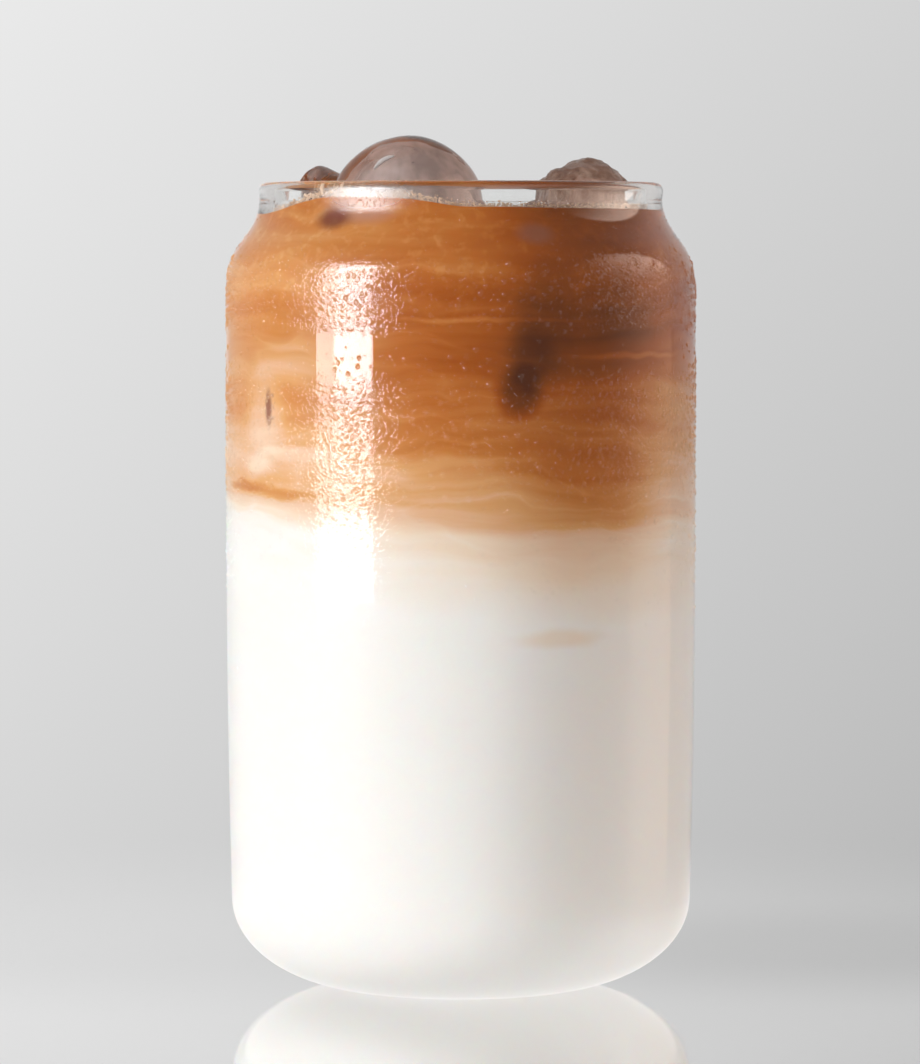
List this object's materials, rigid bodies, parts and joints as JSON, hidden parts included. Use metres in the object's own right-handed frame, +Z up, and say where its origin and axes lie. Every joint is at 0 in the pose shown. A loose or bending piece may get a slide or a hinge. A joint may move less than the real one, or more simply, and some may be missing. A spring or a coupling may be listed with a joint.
{
  "type": "iced latte",
  "caption": "Iced latte in a clear can-shaped drinking glass: milk below, espresso mixed with milk above, and ice standing out of the drink.",
  "frame": {"origin": "centre of the glass's flat foot, on the surface it stands on", "axes": "+Z up along the axis of the glass; the shown side faces -Y and +X is to its right"},
  "size_m": [0.076, 0.076, 0.1374],
  "materials": {
    "clear_glass": "clear smooth glass, misted with fine condensation outside",
    "milk": "cold white milk, opaque, wet",
    "milky_coffee": "espresso swirled with milk, opaque, wet",
    "ice": "clear wet ice with a cloudy core"
  },
  "bodies": {
    "root": {"glass": "clear_glass", "milk": "milk", "coffee": "milky_coffee", "ice_dome": "ice", "ice_left": "ice", "ice_right": "ice"}
  },
  "joints": []
}
